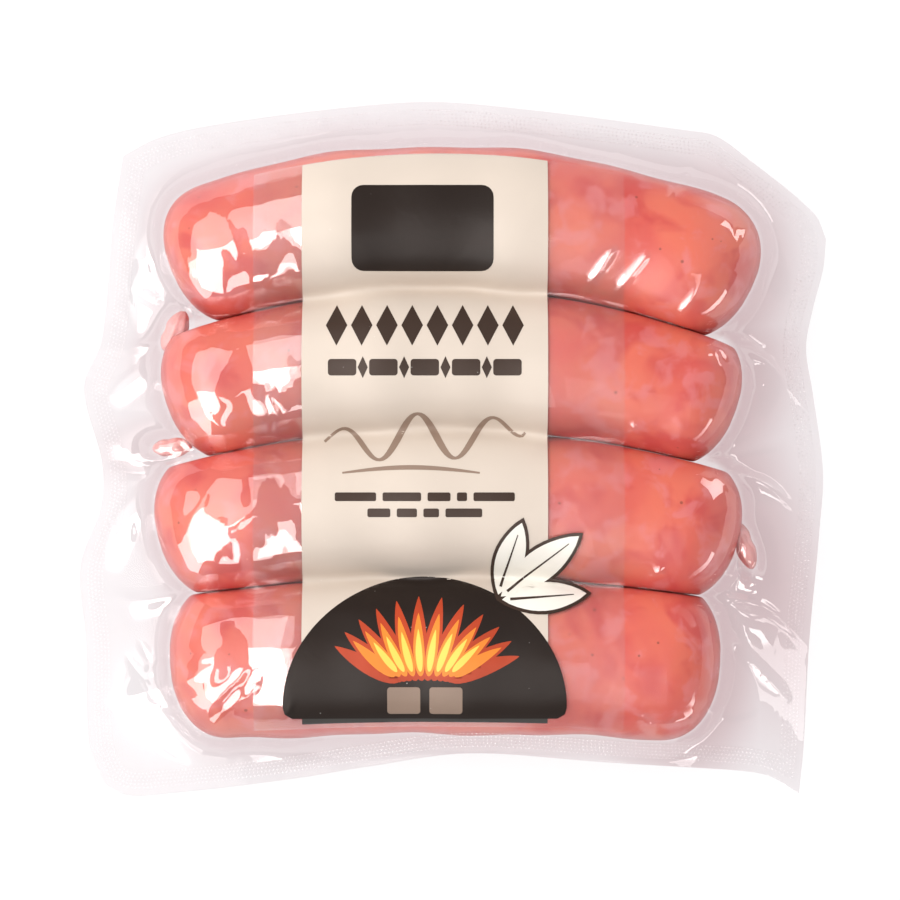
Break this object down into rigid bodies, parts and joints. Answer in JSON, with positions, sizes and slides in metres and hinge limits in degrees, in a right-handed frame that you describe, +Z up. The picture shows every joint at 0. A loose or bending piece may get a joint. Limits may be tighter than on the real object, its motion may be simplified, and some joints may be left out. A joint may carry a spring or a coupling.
{
  "type": "vacuum pack of sausages",
  "caption": "Flat vacuum pack of raw sausages lying side by side in clear film with a wide sealed border, and a clear label with plain fields of colour stuck across the top.",
  "frame": {"origin": "centre of the pack's footprint, on the table that it lies on", "axes": "+X along the sausages to the right, +Y across them towards the back of the pack, +Z up out of the label"},
  "size_m": [0.1658, 0.1544, 0.0319],
  "materials": {
    "film_pack": "clear glossy film drawn tight over raw pink sausages",
    "label": "clear sheet with a cream band, a bare dark plate and plain dark fields"
  },
  "bodies": {
    "root": {"vacuum_pack": "film_pack", "label": "label"}
  },
  "joints": []
}
